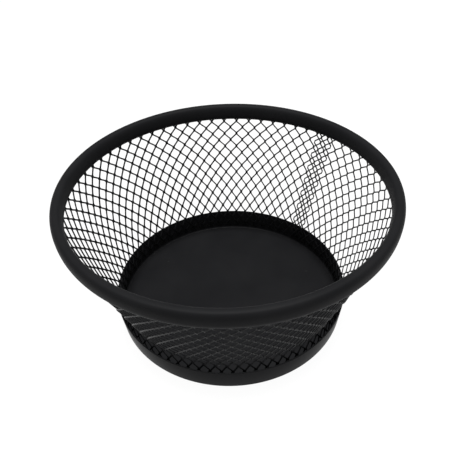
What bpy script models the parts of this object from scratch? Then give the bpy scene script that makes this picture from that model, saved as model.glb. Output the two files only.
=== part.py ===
"""A round desk organiser that turns: a black mesh bowl on a low ball-bearing turntable.

Units are metres and +Z is up. The origin is on the turning axis, on the table, under the
rubber pads. The bowl is a steel pan, an expanded-steel wall and a rolled rim. Under the pan
a moulded bearing plate runs on caged steel balls, on a moulded foot held by one centre rivet.
"""

import math

import bmesh
import bpy

# Driving dimensions
RIM_RADIUS = 0.115  # outermost radius of the bowl
BOWL_LIFT = 0.008  # underside of the pan above the table
RIM_ABOVE_PAN = 0.101  # middle of the rim section above the underside of the pan
CLEAR = 0.0003  # gap between pieces that touch
TURN_STEPS = 60  # facets round the large turned pieces

# Rolled rim: an upright, slightly squared oval channel, slotted along its bottom for the mesh
RIM_HALF_HEIGHT = 0.00625
RIM_HALF_WIDTH = 0.0039
RIM_SQUARENESS = 2.6  # exponent of the oval: 2 would be an ellipse
RIM_LEAN = math.radians(-4.0)  # the top leans away from the axis
RIM_STRIP = 0.0008
RIM_SLOT_PLACE = 9.0  # degrees round the oval from its bottom end, up the inner side
RIM_SLOT_HALF = 12.5
RIM_POINTS = 14
RIM_POINTS_INSIDE = 8

# Mesh wall: a cone, with its foot turned out to meet the band of the pan
WALL_SLOPE = 0.3839  # radius gained per unit of height
WALL_THICK = 0.001
WALL_RADIUS_AT_RIM = 0.1121  # middle of the wall, carried up to the height of the rim's middle
WALL_TOP_BELOW_RIM_MIDDLE = 0.0012
FLARE_START = 0.033  # height where the cone ends and the turned-out foot begins
FLARE_KNEE = (0.0800, 0.0255)  # pull point of the curved foot
FLARE_END_HEIGHT = 0.0125
FLARE_POINTS = 5

# Base pan: a pressed tray with an upright band
SHEET = 0.001
BAND_RADIUS_LOW = 0.084
BAND_RADIUS_HIGH = 0.0856
BAND_HEIGHT = 0.0175
PAN_CORNER = 0.0024  # outer radius between the floor and the band

# Turntable under the pan
BALL_RADIUS = 0.0016
BALL_COUNT = 12
BALL_CIRCLE = 0.050
BALL_HEIGHT = 0.0047
FOOT_RADIUS = 0.068
FOOT_BOTTOM = 0.0012
FOOT_TOP = 0.0039
PLATE_RADIUS = 0.070
PLATE_BOTTOM = 0.0055
CAGE_HALF_WIDTH = 0.0035
CAGE_HALF_THICK = 0.0005
HUB_RADIUS = 0.013
HUB_BOTTOM = 0.0045
HUB_FLOOR = 0.0060
HUB_POCKET_RADIUS = 0.010
PIVOT_SHANK = 0.0040
PIVOT_HEAD_LOW = 0.0080
PIVOT_HEAD_HIGH = 0.0070
RIVET_CIRCLE = 0.0665
RIVET_COUNT = 3
RIVET_START = math.radians(21)
RIVET_SHANK = 0.0009
RIVET_HEAD = 0.0016
PAD_COUNT = 4
PAD_CIRCLE = 0.057
PAD_RADIUS = 0.0065
PAD_POCKET_DEPTH = 0.0008
PAD_START = math.radians(45)

# Small features
FOOT_CHAMFER = 0.0006
HUB_CONE = 0.002  # how much wider the hub is at its root
PIVOT_POCKET_DEPTH = 0.0013
PIVOT_HEAD_THICK = 0.0008
PIVOT_HEAD_CHAMFER = 0.0006
WASHER_THICK = 0.0005
WASHER_MARGIN = 0.001  # washer beyond the rivet head
PAD_CHAMFER = 0.0004
RIVET_CROWN = 0.0002
RIVET_EDGE = 0.0003
CUT_BEYOND = 0.001  # how far a cutter runs past the face it opens

RIM_MIDDLE = BOWL_LIFT + RIM_ABOVE_PAN
PAN_FLOOR = BOWL_LIFT + SHEET
PLATE_TOP = BOWL_LIFT - CLEAR


def clear_scene():
    for old in list(bpy.data.objects):
        bpy.data.objects.remove(old)


def make_collection(name, helper=False):
    group = bpy.data.collections.new(name)
    group.hide_render = helper
    bpy.context.scene.collection.children.link(group)
    return group


def make_material(name, colour, roughness, metallic=0.0):
    material = bpy.data.materials.new(name)
    material.use_nodes = True
    shader = material.node_tree.nodes["Principled BSDF"]
    shader.inputs["Base Color"].default_value = (*colour, 1.0)
    shader.inputs["Roughness"].default_value = roughness
    shader.inputs["Metallic"].default_value = metallic
    return material


def make_object(name, mesh, material, parent):
    piece = bpy.data.objects.new(name, mesh)
    mesh.materials.append(material)
    mesh.shade_smooth()
    mesh.set_sharp_from_angle(angle=math.radians(35))
    PARTS.objects.link(piece)
    piece.parent = parent
    return piece


def make_body(name):
    """An empty on the turning axis that carries the pieces of one body."""
    body = bpy.data.objects.new(name, None)
    body.empty_display_size = 0.02
    PARTS.objects.link(body)
    return body


def profile_mesh(name, points, closed):
    """A chain of (radius, height) points in the XZ plane, ready for a Screw."""
    mesh = bpy.data.meshes.new(name)
    edges = [(i, i + 1) for i in range(len(points) - 1)]
    if closed:
        edges.append((len(points) - 1, 0))
    mesh.from_pydata([(radius, 0.0, height) for radius, height in points], edges, [])
    return mesh


def turned(name, points, material, parent, closed=True, steps=TURN_STEPS):
    """A piece turned about its own Z from a profile that runs down its outer side."""
    piece = make_object(name, profile_mesh(name, points, closed), material, parent)
    screw = piece.modifiers.new("Turn", "SCREW")
    screw.steps = steps
    screw.render_steps = steps
    screw.use_smooth_shade = True
    screw.use_merge_vertices = True
    screw.merge_threshold = 0.00001
    return piece


def cylinder_cutter(name, places, radius, low, high, segments=16):
    """Upright cylinders at the given (x, y) places, joined in one hidden cutter."""
    mesh = bpy.data.meshes.new(name)
    shape = bmesh.new()
    for x, y in places:
        made = bmesh.ops.create_cone(
            shape, cap_ends=True, segments=segments, radius1=radius, radius2=radius, depth=high - low
        )
        bmesh.ops.translate(shape, verts=made["verts"], vec=(x, y, (low + high) / 2))
    shape.to_mesh(mesh)
    shape.free()
    cutter = bpy.data.objects.new(name, mesh)
    cutter.hide_render = True
    cutter.display_type = "WIRE"
    CUTTERS.objects.link(cutter)
    return cutter


def cut(piece, cutter):
    boolean = piece.modifiers.new(cutter.name, "BOOLEAN")
    boolean.operation = "DIFFERENCE"
    boolean.solver = "EXACT"
    boolean.object = cutter


def ring_places(count, radius, start=0.0):
    angles = [start + 2 * math.pi * i / count for i in range(count)]
    return [(radius * math.cos(a), radius * math.sin(a)) for a in angles]


def arc(centre, radius, start, end, count):
    """Points on an arc in the (radius, height) plane, from start to end degrees."""
    angles = [math.radians(start + (end - start) * i / count) for i in range(count + 1)]
    return [(centre[0] + radius * math.cos(a), centre[1] + radius * math.sin(a)) for a in angles]


def wall_radius(height):
    """Mid-surface radius of the conical part of the mesh wall."""
    return WALL_RADIUS_AT_RIM + WALL_SLOPE * (height - RIM_MIDDLE)


def band_inner_radius(height):
    share = (height - BOWL_LIFT) / BAND_HEIGHT
    return BAND_RADIUS_LOW + share * (BAND_RADIUS_HIGH - BAND_RADIUS_LOW) - SHEET


def rim_reach():
    """How far the leaning oval reaches outwards from its own middle."""
    dual = RIM_SQUARENESS / (RIM_SQUARENESS - 1)
    wide = abs(RIM_HALF_WIDTH * math.cos(RIM_LEAN)) ** dual
    tall = abs(RIM_HALF_HEIGHT * math.sin(RIM_LEAN)) ** dual
    return (wide + tall) ** (1 / dual)


def rim_section(shrink, first, last, count):
    """Part of the leaning oval, from first to last degrees from its bottom end, outer side first."""
    half_height = RIM_HALF_HEIGHT - shrink
    half_width = RIM_HALF_WIDTH - shrink
    power = 2 / RIM_SQUARENESS
    points = []
    for i in range(count + 1):
        angle = math.radians(first + (last - first) * i / count)
        sine, cosine = math.sin(angle), math.cos(angle)
        across = half_width * math.copysign(abs(sine) ** power, sine)
        up = -half_height * math.copysign(abs(cosine) ** power, cosine)
        radius = RIM_RADIUS - rim_reach() + across * math.cos(RIM_LEAN) - up * math.sin(RIM_LEAN)
        height = RIM_MIDDLE + across * math.sin(RIM_LEAN) + up * math.cos(RIM_LEAN)
        points.append((radius, height))
    return points


def make_rim(material, parent):
    first = RIM_SLOT_HALF - RIM_SLOT_PLACE
    last = 360 - RIM_SLOT_HALF - RIM_SLOT_PLACE
    outside = rim_section(0.0, first, last, RIM_POINTS)
    inside = rim_section(RIM_STRIP, last, first, RIM_POINTS_INSIDE)
    # The oval climbs its outer side, so the loop is listed backwards to run down it.
    return turned("rim_ring", list(reversed(outside + inside)), material, parent)


def wall_middle():
    """Mid-surface of the mesh wall from the top down: the straight cone, then the curved foot."""
    top = RIM_MIDDLE - WALL_TOP_BELOW_RIM_MIDDLE
    start = (wall_radius(FLARE_START), FLARE_START)
    end = (band_inner_radius(FLARE_END_HEIGHT) - CLEAR - WALL_THICK / 2, FLARE_END_HEIGHT)
    points = [(wall_radius(top), top)]
    for i in range(FLARE_POINTS + 1):
        t = i / FLARE_POINTS
        weights = ((1 - t) ** 2, 2 * t * (1 - t), t**2)
        places = (start, FLARE_KNEE, end)
        points.append(tuple(sum(w * p[k] for w, p in zip(weights, places)) for k in (0, 1)))
    return points


def offset_chain(points, distance):
    """The chain moved sideways by distance, each point along the mean normal of its two edges."""
    moved = []
    for i, (radius, height) in enumerate(points):
        before = points[max(i - 1, 0)]
        after = points[min(i + 1, len(points) - 1)]
        along = (after[0] - before[0], after[1] - before[1])
        length = math.hypot(*along)
        moved.append((radius - along[1] / length * distance, height + along[0] / length * distance))
    return moved


def make_wall(material, parent):
    middle = wall_middle()
    outside = offset_chain(middle, WALL_THICK / 2)
    inside = offset_chain(middle, -WALL_THICK / 2)
    return turned("mesh_wall", outside + list(reversed(inside)), material, parent)


def make_pan(material, parent):
    band_top = BOWL_LIFT + BAND_HEIGHT
    outer_corner = arc((BAND_RADIUS_LOW - PAN_CORNER, BOWL_LIFT + PAN_CORNER), PAN_CORNER, 0, -90, 3)
    inner_radius = PAN_CORNER - SHEET
    inner_corner = arc((BAND_RADIUS_LOW - PAN_CORNER, BOWL_LIFT + PAN_CORNER), inner_radius, -90, 0, 3)
    edge = arc((BAND_RADIUS_HIGH - SHEET / 2, band_top - SHEET / 2), SHEET / 2, 180, 0, 3)
    points = [(0.0, PAN_FLOOR)] + inner_corner + edge + outer_corner + [(0.0, BOWL_LIFT)]
    pan = turned("base_pan", points, material, parent, closed=False)
    cut(pan, RIVET_HOLES)
    return pan


def groove(side, low_radius_first):
    """Half-round ball groove in a flat face, side +1 above the balls and -1 below them."""
    track = BALL_RADIUS + CLEAR
    face = PLATE_BOTTOM if side > 0 else FOOT_TOP
    reach = math.degrees(math.acos(abs(face - BALL_HEIGHT) / track))
    start, end = 90 * side + reach, 90 * side - reach
    if (side > 0) != low_radius_first:
        start, end = end, start
    return arc((BALL_CIRCLE, BALL_HEIGHT), track, start, end, 4)


def make_bearing_plate(material, parent):
    points = [
        (HUB_POCKET_RADIUS, HUB_FLOOR),
        (HUB_POCKET_RADIUS, PLATE_TOP),
        (PLATE_RADIUS, PLATE_TOP),
        (PLATE_RADIUS, PLATE_BOTTOM),
        *groove(1, low_radius_first=False),
        (HUB_RADIUS + HUB_CONE, PLATE_BOTTOM),
        (HUB_RADIUS, HUB_BOTTOM),
        (PIVOT_SHANK + 2 * CLEAR, HUB_BOTTOM),
        (PIVOT_SHANK + 2 * CLEAR, HUB_FLOOR),
    ]
    plate = turned("bearing_plate", points, material, parent)
    cut(plate, RIVET_HOLES)
    return plate


def make_foot_plate(material, parent):
    pocket_top = FOOT_BOTTOM + PIVOT_POCKET_DEPTH
    points = [
        (PIVOT_SHANK + CLEAR, FOOT_TOP),
        *groove(-1, low_radius_first=True),
        (FOOT_RADIUS - FOOT_CHAMFER, FOOT_TOP),
        (FOOT_RADIUS, FOOT_TOP - FOOT_CHAMFER),
        (FOOT_RADIUS, FOOT_BOTTOM + FOOT_CHAMFER),
        (FOOT_RADIUS - FOOT_CHAMFER, FOOT_BOTTOM),
        (PIVOT_HEAD_LOW + CLEAR, FOOT_BOTTOM),
        (PIVOT_HEAD_LOW + CLEAR, pocket_top),
        (PIVOT_SHANK + CLEAR, pocket_top),
    ]
    plate = turned("foot_plate", points, material, parent)
    places = ring_places(PAD_COUNT, PAD_CIRCLE, PAD_START)
    deep = FOOT_BOTTOM + PAD_POCKET_DEPTH
    pockets = cylinder_cutter("pad_pockets", places, PAD_RADIUS + CLEAR, -CUT_BEYOND, deep, segments=24)
    cut(plate, pockets)
    return plate


def make_pivot(steel, nylon, parent):
    """The centre rivet that holds the two halves of the bearing together, and its washer."""
    low_face = FOOT_BOTTOM + PIVOT_POCKET_DEPTH - CLEAR
    washer_low = HUB_FLOOR + CLEAR
    washer_high = washer_low + WASHER_THICK
    head_low = washer_high + CLEAR
    head_high = PLATE_TOP
    points = [
        (0.0, head_high),
        (PIVOT_HEAD_HIGH - PIVOT_HEAD_CHAMFER, head_high),
        (PIVOT_HEAD_HIGH, (head_low + head_high) / 2),
        (PIVOT_HEAD_HIGH, head_low),
        (PIVOT_SHANK, head_low),
        (PIVOT_SHANK, low_face),
        (PIVOT_HEAD_LOW, low_face),
        (PIVOT_HEAD_LOW, low_face - PIVOT_HEAD_THICK / 2),
        (PIVOT_HEAD_LOW - PIVOT_HEAD_CHAMFER, low_face - PIVOT_HEAD_THICK),
        (0.0, low_face - PIVOT_HEAD_THICK),
    ]
    turned("pivot_rivet", points, steel, parent, closed=False, steps=32)
    washer = [
        (PIVOT_SHANK + CLEAR, washer_high),
        (PIVOT_HEAD_HIGH + WASHER_MARGIN, washer_high),
        (PIVOT_HEAD_HIGH + WASHER_MARGIN, washer_low),
        (PIVOT_SHANK + CLEAR, washer_low),
    ]
    turned("pivot_washer", washer, nylon, parent, steps=32)


def make_pads(material, parent):
    top = FOOT_BOTTOM + PAD_POCKET_DEPTH - CLEAR
    points = [
        (0.0, top),
        (PAD_RADIUS, top),
        (PAD_RADIUS, PAD_CHAMFER),
        (PAD_RADIUS - PAD_CHAMFER, 0.0),
        (0.0, 0.0),
    ]
    for i, (x, y) in enumerate(ring_places(PAD_COUNT, PAD_CIRCLE, PAD_START)):
        pad = turned(f"foot_pad_{i + 1}", points, material, parent, closed=False, steps=24)
        pad.location = (x, y, 0.0)


def make_cage(nylon, parent):
    high = BALL_HEIGHT + CAGE_HALF_THICK
    low = BALL_HEIGHT - CAGE_HALF_THICK
    inner = BALL_CIRCLE - CAGE_HALF_WIDTH
    outer = BALL_CIRCLE + CAGE_HALF_WIDTH
    points = [(inner, high), (outer, high), (outer, low), (inner, low)]
    cage = turned("ball_cage", points, nylon, parent)
    places = ring_places(BALL_COUNT, BALL_CIRCLE)
    low_end, high_end = low - CUT_BEYOND, high + CUT_BEYOND
    cut(cage, cylinder_cutter("ball_pockets", places, BALL_RADIUS + CLEAR, low_end, high_end))
    return cage


def make_balls(steel, parent):
    mesh = bpy.data.meshes.new("ball")
    shape = bmesh.new()
    bmesh.ops.create_uvsphere(shape, u_segments=12, v_segments=8, radius=BALL_RADIUS)
    shape.to_mesh(mesh)
    shape.free()
    for i, (x, y) in enumerate(ring_places(BALL_COUNT, BALL_CIRCLE)):
        ball = make_object(f"ball_{i + 1:02d}", mesh.copy(), steel, parent)
        ball.location = (x, y, BALL_HEIGHT)


def make_pan_rivets(material, parent):
    """Small flush rivets through the pan floor into the bearing plate."""
    top = PAN_FLOOR + RIVET_CROWN
    tip = PLATE_BOTTOM + RIVET_CROWN
    points = [
        (0.0, top),
        (RIVET_HEAD - RIVET_EDGE, top),
        (RIVET_HEAD, PAN_FLOOR),
        (RIVET_HEAD, PAN_FLOOR - RIVET_EDGE),
        (RIVET_SHANK, PAN_FLOOR - RIVET_EDGE - (RIVET_HEAD - RIVET_SHANK)),
        (RIVET_SHANK, tip),
        (0.0, tip),
    ]
    for i, (x, y) in enumerate(ring_places(RIVET_COUNT, RIVET_CIRCLE, RIVET_START)):
        rivet = turned(f"pan_rivet_{i + 1}", points, material, parent, closed=False, steps=16)
        rivet.location = (x, y, 0.0)


clear_scene()
PARTS = make_collection("lazy_susan_organizer")
CUTTERS = make_collection("cutters", helper=True)

black_coat = make_material("black_powder_coat", (0.018, 0.018, 0.020), 0.45)
black_plastic = make_material("black_moulded_plastic", (0.022, 0.022, 0.023), 0.5)
bright_steel = make_material("bright_steel", (0.55, 0.55, 0.56), 0.25, metallic=1.0)
natural_nylon = make_material("natural_nylon", (0.62, 0.60, 0.54), 0.5)
black_rubber = make_material("black_rubber", (0.012, 0.012, 0.012), 0.85)

RIVET_HOLES = cylinder_cutter(
    "rivet_holes",
    ring_places(RIVET_COUNT, RIVET_CIRCLE, RIVET_START),
    RIVET_HEAD + CLEAR,
    PLATE_BOTTOM - CUT_BEYOND,
    PAN_FLOOR + CUT_BEYOND,
)

base = make_body("turntable_base")
make_foot_plate(black_plastic, base)
make_pads(black_rubber, base)
make_pivot(bright_steel, natural_nylon, base)

ball_ring = make_body("ball_ring")
make_cage(natural_nylon, ball_ring)
make_balls(bright_steel, ball_ring)

bowl = make_body("bowl")
make_bearing_plate(black_plastic, bowl)
make_pan_rivets(black_coat, bowl)
make_pan(black_coat, bowl)
make_wall(black_coat, bowl)
make_rim(black_coat, bowl)
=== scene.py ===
import math

import bmesh
import bpy
import numpy as np
from mathutils import Matrix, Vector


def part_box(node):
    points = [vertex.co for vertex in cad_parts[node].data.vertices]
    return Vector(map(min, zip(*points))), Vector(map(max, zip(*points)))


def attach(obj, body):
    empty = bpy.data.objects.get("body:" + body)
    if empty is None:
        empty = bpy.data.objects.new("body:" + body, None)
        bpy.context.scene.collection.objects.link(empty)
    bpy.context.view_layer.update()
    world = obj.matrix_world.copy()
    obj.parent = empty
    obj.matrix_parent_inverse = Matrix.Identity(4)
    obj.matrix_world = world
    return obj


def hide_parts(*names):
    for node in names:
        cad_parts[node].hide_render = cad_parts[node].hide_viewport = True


# A turning desk organizer: a black mesh bowl with a rolled rim, on a ball-bearing turntable.
# Everything is in metres, with the turning axis on Z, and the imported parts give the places.
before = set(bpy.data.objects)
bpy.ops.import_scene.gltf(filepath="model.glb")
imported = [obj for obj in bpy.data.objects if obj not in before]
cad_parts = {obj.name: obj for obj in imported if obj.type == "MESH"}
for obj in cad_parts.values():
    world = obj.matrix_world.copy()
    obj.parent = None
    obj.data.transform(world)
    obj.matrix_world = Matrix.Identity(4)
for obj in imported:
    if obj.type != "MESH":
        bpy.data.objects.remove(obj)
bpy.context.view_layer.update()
roundSteps = 300  # facets round the large turned pieces
print("frame loaded:", len(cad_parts), "parts")


def quadsOf(rows, cols, wrapRows, wrapCols):
    # every grid square as four corner numbers, wrapping round where the surface closes on itself
    rowCount = rows if wrapRows else rows - 1
    colCount = cols if wrapCols else cols - 1
    row, col = np.meshgrid(np.arange(rowCount), np.arange(colCount), indexing="ij")
    nextRow, nextCol = (row + 1) % rows, (col + 1) % cols
    corners = [row * cols + col, nextRow * cols + col, nextRow * cols + nextCol, row * cols + nextCol]
    return np.stack(corners, -1).reshape(-1, 4)


def meshOf(name, points, quads):
    # a smooth-shaded object from an array of points and an array of four-cornered faces
    mesh = bpy.data.meshes.new(name)
    mesh.vertices.add(len(points))
    mesh.vertices.foreach_set("co", np.ascontiguousarray(points, np.float32).ravel())
    mesh.loops.add(quads.size)
    mesh.loops.foreach_set("vertex_index", np.ascontiguousarray(quads, np.int32).ravel())
    mesh.polygons.add(len(quads))
    mesh.polygons.foreach_set("loop_start", np.arange(0, quads.size, 4, dtype=np.int32))
    mesh.update(calc_edges=True)
    mesh.validate()
    mesh.shade_smooth()
    piece = bpy.data.objects.new(name, mesh)
    bpy.context.scene.collection.objects.link(piece)
    return piece


def turned(name, profile, closed, centre=(0.0, 0.0), steps=roundSteps):
    # a profile of radius r and height h carried round an upright axis: x = r cos a, y = r sin a, z = h
    outline = np.array(profile, float)
    angle = np.linspace(0, 2 * np.pi, steps, endpoint=False)[:, None]
    radius, height = outline[:, 0][None], outline[:, 1][None] + 0 * angle
    points = np.stack([centre[0] + radius * np.cos(angle), centre[1] + radius * np.sin(angle), height], -1)
    piece = meshOf(name, points.reshape(-1, 3), quadsOf(steps, len(outline), True, closed)[:, ::-1])
    if not closed:
        # an open profile begins and ends on the axis, where a whole ring of points is one point
        shape = bmesh.new()
        shape.from_mesh(piece.data)
        bmesh.ops.remove_doubles(shape, verts=shape.verts, dist=1e-7)
        shape.to_mesh(piece.data)
        shape.free()
        piece.data.shade_smooth()
    return piece


def finish(piece, body, slotName, material, *nodes):
    # the coat, the body that the piece turns with, and the imported parts it stands for; the slot name is
    # not used
    piece.data.materials.append(material)
    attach(piece, body)
    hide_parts(*nodes)


def newMaterial(name):
    material = bpy.data.materials.new(name)
    material.use_nodes = True
    nodes, links = material.node_tree.nodes, material.node_tree.links
    return material, nodes, links, nodes["Principled BSDF"]


def noiseNode(nodes, links, scale, detail):
    coords = nodes.new("ShaderNodeTexCoord")
    noise = nodes.new("ShaderNodeTexNoise")
    noise.inputs["Scale"].default_value = scale
    noise.inputs["Detail"].default_value = detail
    links.new(coords.outputs["Object"], noise.inputs["Vector"])
    return noise.outputs["Fac"]


def finishOf(name, look):
    # broad noise shifts the tone and the gloss a little, and fine noise raises a grain
    material, nodes, links, shader = newMaterial(name)
    mottle = noiseNode(nodes, links, look["patchScale"], look["patchDetail"])
    tones = nodes.new("ShaderNodeValToRGB")
    darkEnd, lightEnd = tones.color_ramp.elements
    darkEnd.position, lightEnd.position = look["toneSpan"]
    darkEnd.color = (*look["dark"], 1)
    lightEnd.color = (*look["light"], 1)
    links.new(mottle, tones.inputs["Fac"])
    links.new(tones.outputs["Color"], shader.inputs["Base Color"])
    gloss = nodes.new("ShaderNodeMapRange")
    gloss.inputs["To Min"].default_value = look["roughness"][0]
    gloss.inputs["To Max"].default_value = look["roughness"][1]
    links.new(mottle, gloss.inputs["Value"])
    links.new(gloss.outputs["Result"], shader.inputs["Roughness"])
    shader.inputs["Metallic"].default_value = look["metallic"]
    shader.inputs["Specular IOR Level"].default_value = look["specular"]
    bump = nodes.new("ShaderNodeBump")
    bump.inputs["Strength"].default_value = look["grainStrength"]
    bump.inputs["Distance"].default_value = look["grainDepth"]
    links.new(noiseNode(nodes, links, look["grainScale"], look["grainDetail"]), bump.inputs["Height"])
    links.new(bump.outputs["Normal"], shader.inputs["Normal"])
    return material


# black satin powder coat, with a fine pebbled skin; the sheet is glossier, as it is flat and smooth
powderLook = {
    "dark": (0.0078, 0.0079, 0.0086), "light": (0.0098, 0.0099, 0.0106), "toneSpan": (0.3, 0.7),
    "patchScale": 38.0, "patchDetail": 3.0, "roughness": (0.46, 0.54), "specular": 0.035, "metallic": 0.0,
    "grainScale": 2600.0, "grainDetail": 2.0, "grainStrength": 0.25, "grainDepth": 0.00005,
}
rimCoat = finishOf("rimPowderCoat", powderLook)
meshCoat = finishOf("meshPowderCoat", powderLook | {
    "patchScale": 120.0, "roughness": (0.34, 0.46), "specular": 0.07,
})
panCoat = finishOf("panPowderCoat", powderLook | {"roughness": (0.3, 0.38), "grainScale": 1800.0})

# the turntable's own finishes share their grain depth and ordinary gloss
turntableLook = {
    "toneSpan": (0.0, 1.0), "patchDetail": 3.0, "specular": 0.5, "metallic": 0.0,
    "grainDetail": 3.0, "grainDepth": 0.0001,
}
moulded = finishOf("mouldedBlack", turntableLook | {
    "dark": (0.016, 0.016, 0.017), "light": (0.024, 0.024, 0.025), "patchScale": 60.0,
    "roughness": (0.45, 0.6), "grainScale": 2200.0, "grainStrength": 0.35,
})
nylon = finishOf("naturalNylon", turntableLook | {
    "dark": (0.55, 0.53, 0.47), "light": (0.66, 0.64, 0.58), "patchScale": 180.0,
    "roughness": (0.42, 0.55), "grainScale": 1500.0, "grainStrength": 0.2,
})
plated = finishOf("platedSteel", turntableLook | {
    "dark": (0.52, 0.52, 0.53), "light": (0.66, 0.66, 0.66), "patchScale": 240.0,
    "roughness": (0.18, 0.32), "metallic": 1.0, "grainScale": 1200.0, "grainStrength": 0.1,
})
rubber = finishOf("padRubber", turntableLook | {
    "dark": (0.010, 0.010, 0.010), "light": (0.016, 0.016, 0.016), "patchScale": 200.0,
    "roughness": (0.75, 0.9), "grainScale": 2600.0, "grainStrength": 0.5,
})
print("finishes made")

# the rim is a strip rolled into a squared oval, with a slot along the bottom that grips the mesh
rimSpec = {
    "halfWidth": 0.0039, "halfHeight": 0.00625, "squareness": 2.6,
    "lean": math.radians(-4.0),  # the top leans outwards
    "strip": 0.0008,
    "slotPlace": 9.0, "slotHalf": 12.5,  # degrees round the oval, from its lowest point
    "outerPoints": 64, "innerPoints": 40,
}
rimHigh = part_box("rim_ring")[1]
leanCos, leanSin = math.cos(rimSpec["lean"]), math.sin(rimSpec["lean"])


def rimReach(wide, tall):
    # how far a squared oval of power n reaches: (|wide|^m + |tall|^m)^(1/m), where m = n / (n - 1)
    dual = rimSpec["squareness"] / (rimSpec["squareness"] - 1)
    return (abs(wide) ** dual + abs(tall) ** dual) ** (1 / dual)


rimCentre = rimHigh.x - rimReach(rimSpec["halfWidth"] * leanCos, rimSpec["halfHeight"] * leanSin)
rimMiddle = rimHigh.z - rimReach(rimSpec["halfWidth"] * leanSin, rimSpec["halfHeight"] * leanCos)


def rimArc(shrink, first, last, count):
    # a squared oval, across = w |sin t|^(2/n) and up = -h |cos t|^(2/n) with their signs, leant over
    t = np.radians(np.linspace(first, last, count))
    power = 2 / rimSpec["squareness"]
    across = (rimSpec["halfWidth"] - shrink) * np.sign(np.sin(t)) * np.abs(np.sin(t)) ** power
    up = (shrink - rimSpec["halfHeight"]) * np.sign(np.cos(t)) * np.abs(np.cos(t)) ** power
    radius = rimCentre + across * leanCos - up * leanSin
    height = rimMiddle + across * leanSin + up * leanCos
    return np.stack([radius, height], -1)


def makeRim():
    # the outer face from one side of the slot round to the other, then back along the inner face
    first = rimSpec["slotHalf"] - rimSpec["slotPlace"]
    last = 360 - rimSpec["slotHalf"] - rimSpec["slotPlace"]
    outer = rimArc(0, first, last, rimSpec["outerPoints"])
    inner = rimArc(rimSpec["strip"], last, first, rimSpec["innerPoints"])
    rim = turned("rimRoll", np.concatenate([outer, inner])[::-1], True)
    finish(rim, "bowl", "powder_coat_rim", rimCoat, "rim_ring")


makeRim()
print("rim rolled")

panSpec = {
    "sheet": 0.001, "lowRadius": 0.084, "corner": 0.0024,
    "floorRings": 14, "floorStop": 0.0002,  # the flat rings stop this short of the corner's curve
    "bendPoints": 9,
}
panLow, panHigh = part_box("base_pan")


def panInner(height):
    # inner radius of the band, which widens evenly from its foot to its top edge
    share = (height - panLow.z) / (panHigh.z - panLow.z)
    return panSpec["lowRadius"] + share * (panHigh.x - panSpec["lowRadius"]) - panSpec["sheet"]


# the wall is one strip of expanded metal, rolled into a cone and lapped on itself at one place
wallSpec = {
    "slope": 0.3839,  # radius gained per unit of height
    "halfSheet": 0.0005,
    "footStart": 0.033, "footKnee": (0.0800, 0.0255), "footPoints": 24,
    "footGap": 0.0007,  # between the band's inner side and the middle of the sheet
    "cell": math.radians(5.368), "knotAngle": math.radians(92.9),
    "sheetStart": math.radians(39.2), "sheetEnd": math.radians(409.7),
    "strandLength": 0.0072, "firstKnot": 0.0966, "bondHalf": 0.0012,
    "lastRowShare": 0.4,  # a further row is begun if this much of it fits
    "strandWidth": 0.00125, "strandThick": 0.00075, "tilt": math.radians(24),
    "sectionWide": (1, 0.55, -0.55, -1, -0.55, 0.55), "sectionThick": (0, 1, 1, 0, -1, -1),
    "lapFrom": math.radians(388), "lapOver": math.radians(11), "lapLift": 0.0009,
    "driftFrom": math.radians(195), "driftOver": math.radians(150),
    "driftTurn": math.radians(-0.75), "driftDown": 0.0011,
    "stretchFrom": math.radians(76), "stretchOver": math.radians(34), "stretchTurn": math.radians(1.1),
    "slopeStep": 0.0001,
}
wallLow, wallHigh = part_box("mesh_wall")


def wallLine():
    # the mid line of the wall from the top down: a straight cone, then a quadratic curve to the band
    top = (wallHigh.x - wallSpec["halfSheet"], wallHigh.z)
    coneRadius = top[0] + wallSpec["slope"] * (wallSpec["footStart"] - top[1])
    start = np.array([coneRadius, wallSpec["footStart"]])
    knee = np.array(wallSpec["footKnee"])
    end = np.array([panInner(wallLow.z) - wallSpec["footGap"], wallLow.z + wallSpec["halfSheet"]])
    t = np.linspace(0, 1, wallSpec["footPoints"])[:, None]
    foot = (1 - t) ** 2 * start + 2 * t * (1 - t) * knee + t ** 2 * end
    line = np.vstack([[top], foot])
    run = np.concatenate([[0], np.cumsum(np.linalg.norm(np.diff(line, axis=0), axis=1))])
    return line, run


def knotRows(line, run):
    # distances down the wall of the rows of knots: a strand keeps its length, so where the wall is
    # wider the cells are wider and shorter, and the rows stand closer
    halfCell = wallSpec["cell"] / 2

    def step(s):
        halfWidth = np.interp(s, run, line[:, 0]) * halfCell
        return math.sqrt(wallSpec["strandLength"] ** 2 - halfWidth ** 2)

    rows = [np.interp(-wallSpec["firstKnot"], -line[:, 1], run)]
    rowsAbove = 0
    while rows[0] - step(rows[0]) > 0:
        rows.insert(0, rows[0] - step(rows[0]))
        rowsAbove += 1
    while rows[-1] + wallSpec["lastRowShare"] * step(rows[-1]) < run[-1]:
        rows.append(rows[-1] + step(rows[-1]))
    return np.array(rows), rowsAbove


def stationsOf(rows, rowsAbove, runEnd):
    # four stations between rows: knot, end of its bond, half way, start of the next bond;
    # swing says where a strand is between its two knot lines, from 0 to 1
    bond = wallSpec["bondHalf"]
    here, ahead = rows[:-1, None], rows[1:, None]
    station = np.hstack([here, here + bond, (here + ahead) / 2, ahead - bond]).ravel()
    parity = (np.arange(len(rows) - 1) + rowsAbove)[:, None] % 2
    swing = np.hstack([parity, parity, 0.5 + 0 * parity, 1 - parity]).ravel().astype(float)
    inside = station < runEnd
    return np.append(station[inside], runEnd), np.append(swing[inside], swing[inside][-1])


def easeIn(value, start, over):
    # 0 before start, 1 once over has passed, and 3 t^2 - 2 t^3 between
    t = np.clip((value - start) / over, 0, 1)
    return t * t * (3 - 2 * t)


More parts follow.
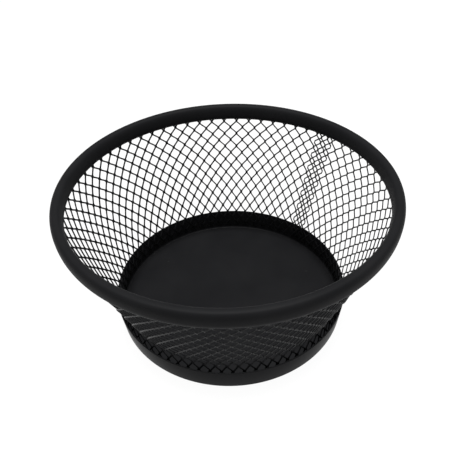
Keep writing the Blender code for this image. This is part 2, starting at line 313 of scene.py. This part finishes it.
def wallSurface(line, run, angle, s):
    # the wall line turned about the axis, and its outward normal, a quarter turn from the line's slope
    radius, height = np.interp(s, run, line[:, 0]), np.interp(s, run, line[:, 1])
    below, above = s + wallSpec["slopeStep"], s - wallSpec["slopeStep"]
    slopeR = np.interp(below, run, line[:, 0]) - np.interp(above, run, line[:, 0])
    slopeZ = np.interp(below, run, line[:, 1]) - np.interp(above, run, line[:, 1])
    size = np.hypot(slopeR, slopeZ)
    outR, outZ = -slopeZ / size, slopeR / size
    cosA, sinA = np.cos(angle), np.sin(angle)
    base = np.stack([radius * cosA, radius * sinA, height], -1)
    normal = np.stack([outR * cosA, outR * sinA, outZ], -1)
    return base, normal


def unit(vectors):
    return vectors / np.linalg.norm(vectors, axis=-1, keepdims=True)


def strandPoints(base, normal, place):
    # a flat six-sided section carried along each strand and tilted, as slit and drawn metal is; at a
    # knot its middle is half a width to one side of the knot line, so that two strands meet side by side
    along = unit(np.gradient(base, axis=1))
    side = unit(np.cross(normal, along))
    face = np.cross(along, side)
    cosT, sinT = math.cos(wallSpec["tilt"]), math.sin(wallSpec["tilt"])
    wide = cosT * side + sinT * face
    thick = -sinT * side + cosT * face
    centre = base + wide * ((1 - 2 * place) * wallSpec["strandWidth"] / 2)[..., None]
    sectionX = np.array(wallSpec["sectionWide"]) * wallSpec["strandWidth"] / 2
    sectionY = np.array(wallSpec["sectionThick"]) * wallSpec["strandThick"] / 2
    return centre[:, :, None] + wide[:, :, None] * sectionX[:, None] + thick[:, :, None] * sectionY[:, None]


def strandQuads(strands, stations):
    # the faces of one six-sided tube with its two ends closed, repeated for every strand
    corners = len(wallSpec["sectionWide"])
    tube = quadsOf(stations, corners, False, True)[:, ::-1]
    cap = np.array([[0, 1, 2, 3], [0, 3, 4, 5]])
    oneStrand = np.vstack([tube, cap[:, ::-1], cap + (stations - 1) * corners])
    firstPoints = (np.arange(strands) * stations * corners)[:, None, None]
    return (oneStrand[None] + firstPoints).reshape(-1, 4)


def makeWall():
    line, run = wallLine()
    rows, rowsAbove = knotRows(line, run)
    station, swing = stationsOf(rows, rowsAbove, run[-1])
    # strand m runs between knot lines m and m + 1, half a cell apart, and its neighbours mirror it
    halfCell = wallSpec["cell"] / 2
    first = math.ceil((wallSpec["sheetStart"] - wallSpec["knotAngle"]) / halfCell)
    last = math.floor((wallSpec["sheetEnd"] - wallSpec["knotAngle"]) / halfCell)
    strand = np.arange(first, last)[:, None]
    place = np.where(strand % 2 == 0, swing[None], 1 - swing[None])
    angle = wallSpec["knotAngle"] + (strand + place) * halfCell
    # the wrapped sheet runs a little askew, so its rows come round lower than they set out,
    # and its first edge is pulled back
    drift = easeIn(angle, wallSpec["driftFrom"], wallSpec["driftOver"])
    stretch = easeIn(-angle, -wallSpec["stretchFrom"], wallSpec["stretchOver"])
    angle = angle + wallSpec["driftTurn"] * drift + wallSpec["stretchTurn"] * stretch
    footShare = easeIn(station, run[1], run[-1] - run[1])
    s = station[None] + wallSpec["driftDown"] * drift * ((station > 0) * (1 - footShare))[None]
    base, normal = wallSurface(line, run, angle, s)
    # the last edge lies on the outside of the first, except at the foot, where both are pressed together
    lap = easeIn(angle, wallSpec["lapFrom"], wallSpec["lapOver"]) * (1 - footShare)[None]
    base += normal * (wallSpec["lapLift"] * lap)[..., None]
    points = strandPoints(base, normal, place)
    quads = strandQuads(*points.shape[:2])
    print("wall:", len(points), "strands,", len(rows), "rows of knots,", 2 * len(quads), "triangles")
    wall = meshOf("expandedWall", points.reshape(-1, 3), quads)
    finish(wall, "bowl", "powder_coat_mesh", meshCoat, "mesh_wall")


makeWall()


def arcOf(centre, radius, first, last):
    # points at equal angles on an arc: centre + radius (cos t, sin t)
    t = np.radians(np.linspace(first, last, panSpec["bendPoints"]))
    return np.stack([centre[0] + radius * np.cos(t), centre[1] + radius * np.sin(t)], -1)


def makePan():
    # one profile from the middle of the floor out, up the band, over its round edge and back below
    sheet, corner = panSpec["sheet"], panSpec["corner"]
    cornerCentre = (panSpec["lowRadius"] - corner, panLow.z + corner)
    insideCorner = arcOf(cornerCentre, corner - sheet, -90, 0)
    outsideCorner = arcOf(cornerCentre, corner, -90, 0)[::-1]
    edge = arcOf((panHigh.x - sheet / 2, panHigh.z - sheet / 2), sheet / 2, 180, 0)
    ring = np.linspace(0, cornerCentre[0] - panSpec["floorStop"], panSpec["floorRings"])
    inner = np.stack([ring, panLow.z + sheet + 0 * ring], -1)
    under = np.stack([ring[::-1], panLow.z + 0 * ring], -1)
    profile = np.vstack([inner, insideCorner, edge, outsideCorner, under])
    finish(turned("panSheet", profile, False), "bowl", "powder_coat_sheet", panCoat, "base_pan")


rivetSpec = {
    "crown": 0.0003, "headDepth": 0.0005, "coneDepth": 0.0012, "shankRadius": 0.0009,
    "crownPoints": 8, "facets": 32,
}


def makeRivet(number):
    # a low crown, radius r sin t and height c cos t, over a sunk head that tapers to the shank
    low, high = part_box(f"pan_rivet_{number}")
    middle = ((low.x + high.x) / 2, (low.y + high.y) / 2)
    headRadius = (high.x - low.x) / 2
    shankRadius = rivetSpec["shankRadius"]
    t = np.linspace(0, math.pi / 2, rivetSpec["crownPoints"])
    rise = high.z - rivetSpec["crown"] + rivetSpec["crown"] * np.cos(t)
    crown = np.stack([headRadius * np.sin(t), rise], -1)
    head = (headRadius, high.z - rivetSpec["headDepth"])
    cone = (shankRadius, high.z - rivetSpec["coneDepth"])
    profile = np.vstack([crown, [head, cone, (shankRadius, low.z), (0, low.z)]])
    rivet = turned(f"rivet{number}", profile, False, middle, rivetSpec["facets"])
    finish(rivet, "bowl", "powder_coat_sheet", panCoat, f"pan_rivet_{number}")


makePan()
for number in (1, 2, 3):
    makeRivet(number)
print("pan pressed and riveted")


def turntableFinish(name):
    # what each part of the turntable is made of
    if name in ("foot_plate", "bearing_plate"):
        return moulded
    if name in ("ball_cage", "pivot_washer"):
        return nylon
    if name.startswith("ball_") or name == "pivot_rivet":
        return plated
    return rubber if name.startswith("foot_pad") else None


for name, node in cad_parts.items():
    material = turntableFinish(name)
    if material:
        node.data.materials.clear()
        node.data.materials.append(material)
print("turntable finished")

# a pale table that glows a little, so that it stays white and takes only a faint shadow
floorSpec = {"reach": 6.0, "tone": (0.07, 0.07, 0.07, 1), "glow": 0.96, "roughness": 0.9, "specular": 0.1}
lightSpec = {"place": (0.0, 0.0, 1.25), "size": (0.8, 0.72), "power": 23.0, "air": 0.4}
cameraSpec = {
    "place": (0.001046, -0.29681, 0.32332), "drop": math.radians(39.946), "roll": math.radians(-2.181),
    "lens": 42.883, "sensor": 36.0, "nearest": 0.01,
}


def makeFloor():
    reach = floorSpec["reach"]
    corners = np.array([[-reach, -reach, 0], [reach, -reach, 0], [reach, reach, 0], [-reach, reach, 0]])
    sheet = meshOf("paleFloor", corners, np.array([[0, 1, 2, 3]]))
    material, nodes, links, shader = newMaterial("palePaper")
    shader.inputs["Base Color"].default_value = floorSpec["tone"]
    shader.inputs["Emission Color"].default_value = (1, 1, 1, 1)
    shader.inputs["Emission Strength"].default_value = floorSpec["glow"]
    shader.inputs["Roughness"].default_value = floorSpec["roughness"]
    shader.inputs["Specular IOR Level"].default_value = floorSpec["specular"]
    sheet.data.materials.append(material)


def makeLight():
    # one broad softbox straight overhead, facing down, in dim white air
    light = bpy.data.lights.new("overheadSoftbox", "AREA")
    light.shape = "RECTANGLE"
    light.size, light.size_y = lightSpec["size"]
    light.energy = lightSpec["power"]
    softbox = bpy.data.objects.new("overheadSoftbox", light)
    softbox.location = lightSpec["place"]
    bpy.context.scene.collection.objects.link(softbox)
    world = bpy.data.worlds.new("studioAir")
    world.use_nodes = True
    world.node_tree.nodes["Background"].inputs["Color"].default_value = (1, 1, 1, 1)
    world.node_tree.nodes["Background"].inputs["Strength"].default_value = lightSpec["air"]
    bpy.context.scene.world = world


def makeCamera():
    # it looks along +Y and down by the drop, and is turned about its own line of sight by the roll
    cosD, sinD = math.cos(cameraSpec["drop"]), math.sin(cameraSpec["drop"])
    cosR, sinR = math.cos(cameraSpec["roll"]), math.sin(cameraSpec["roll"])
    across = np.array([1.0, 0, 0])
    ahead, up = np.array([0, cosD, -sinD]), np.array([0, sinD, cosD])
    right, top = cosR * across + sinR * up, cosR * up - sinR * across
    lens = bpy.data.cameras.new("studioCamera")
    lens.lens = cameraSpec["lens"]
    lens.sensor_width = cameraSpec["sensor"]
    lens.clip_start = cameraSpec["nearest"]
    camera = bpy.data.objects.new("studioCamera", lens)
    axes = np.column_stack([right, top, -ahead, cameraSpec["place"]])
    camera.matrix_world = Matrix(np.vstack([axes, [0, 0, 0, 1]]).tolist())
    bpy.context.scene.collection.objects.link(camera)
    bpy.context.scene.camera = camera


makeFloor()
makeLight()
makeCamera()
bpy.context.scene.view_settings.view_transform = "Standard"
print("stage lit")
